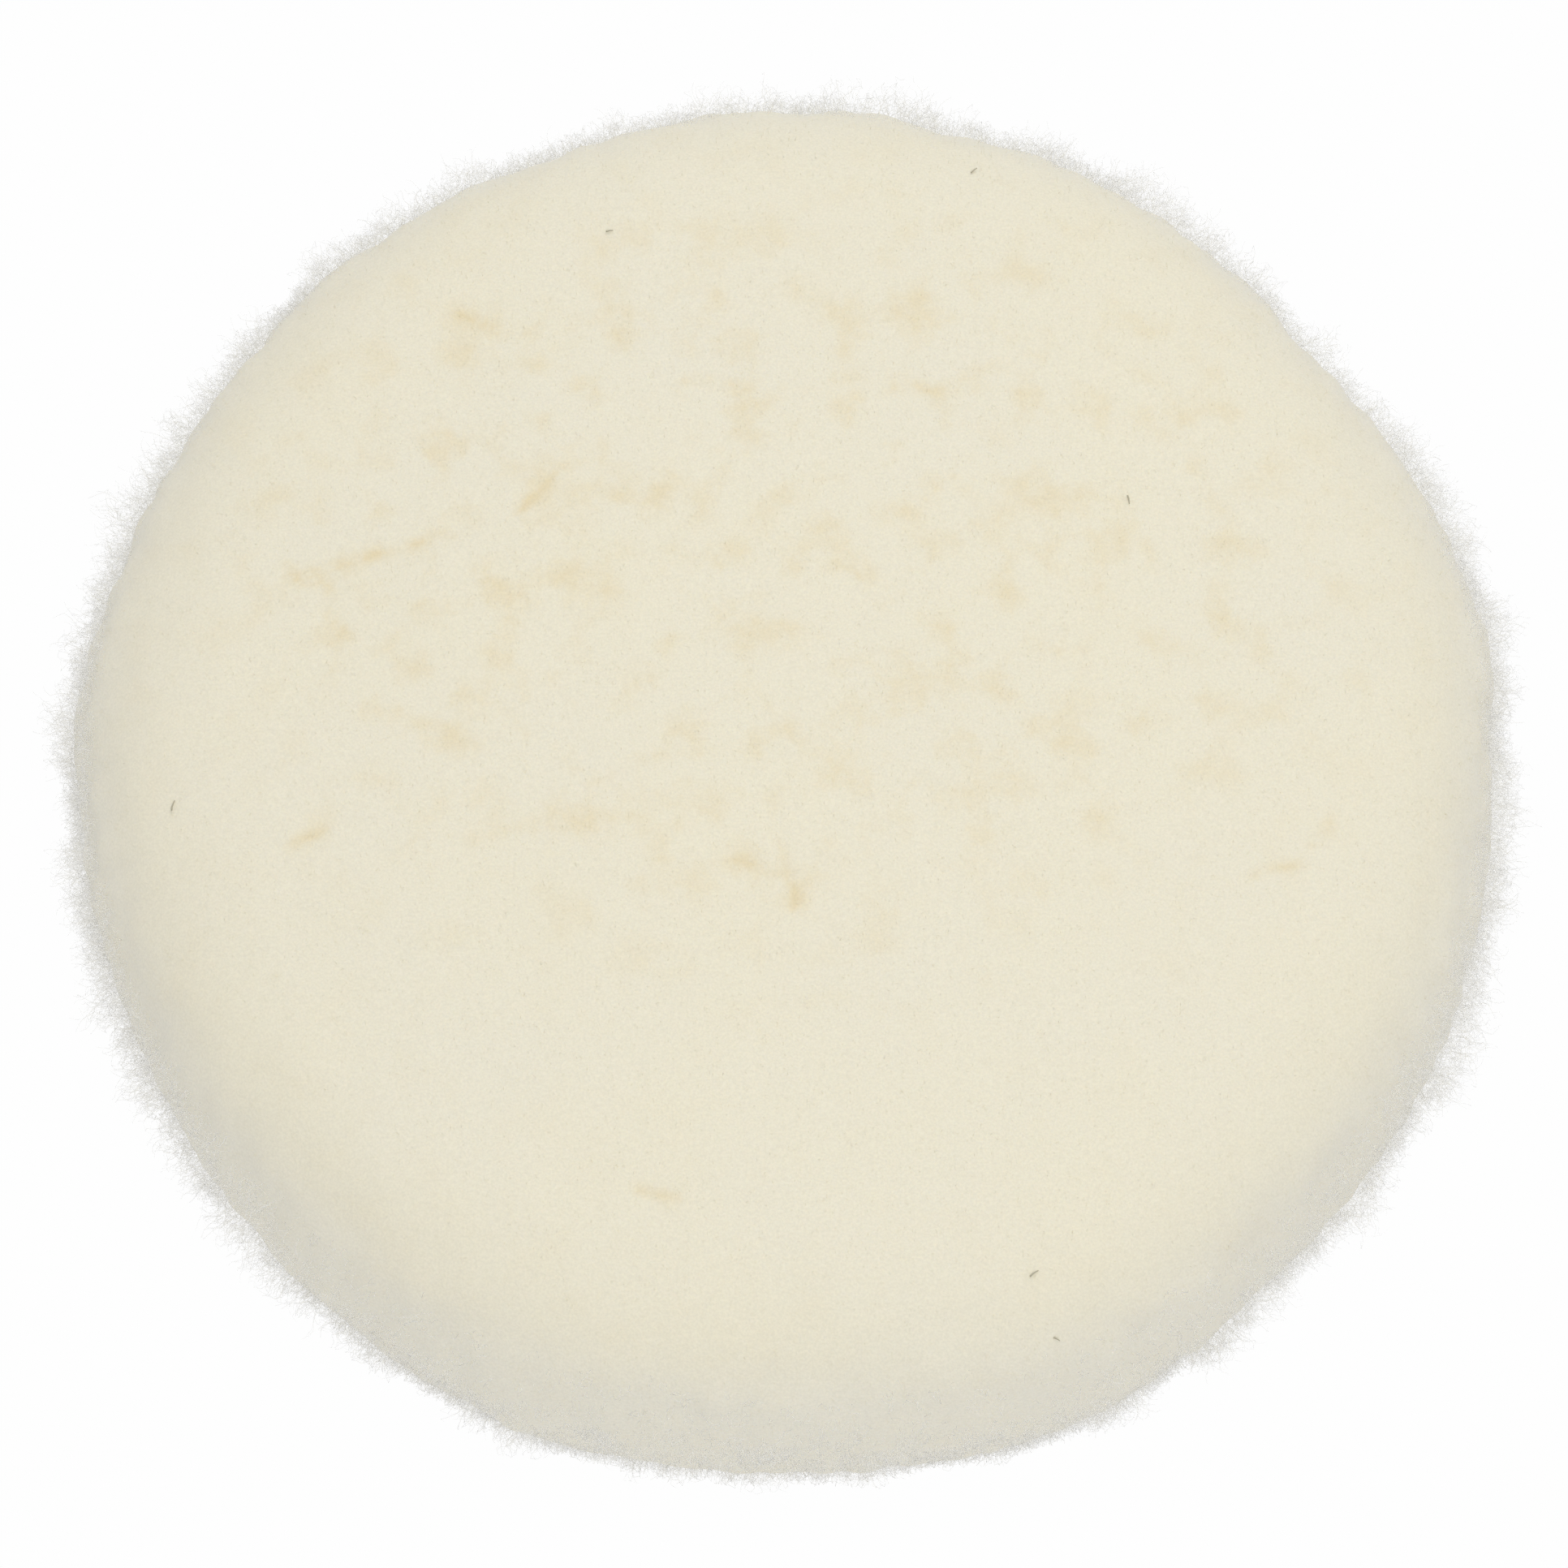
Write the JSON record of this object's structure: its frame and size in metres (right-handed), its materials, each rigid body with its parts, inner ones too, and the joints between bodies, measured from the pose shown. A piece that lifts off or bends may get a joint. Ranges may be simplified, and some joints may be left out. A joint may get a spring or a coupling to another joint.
{
  "type": "lambswool polishing pad",
  "caption": "Round sheared lambswool polishing pad on tanned skin, with a foam cushion, a bound rim and a hook-and-loop back.",
  "frame": {"origin": "centre of the loop face on the back, which the pad rests on and a hook plate grips", "axes": "+Z out of the wool face, along the pad's axis; X and Y in the loop face"},
  "size_m": [0.18, 0.18, 0.0321],
  "materials": {
    "wool": "sheared natural lambswool, matte with a soft sheen",
    "skin": "tanned sheepskin, buffed flesh side",
    "bond_film": "hot-melt adhesive film",
    "foam": "open-cell polyurethane foam",
    "ground_cloth": "warp-knitted nylon",
    "loop_nap": "brushed nylon loops",
    "tape": "woven cotton twill tape",
    "thread": "bonded nylon sewing thread"
  },
  "bodies": {
    "root": {"wool_pile": "wool", "sheepskin": "skin", "skin_bond_film": "bond_film", "cushion_foam": "foam", "loop_bond_film": "bond_film", "loop_ground_cloth": "ground_cloth", "loop_nap": "loop_nap", "binding_tape": "tape", "needle_thread": "thread", "bobbin_thread": "thread"}
  },
  "joints": []
}
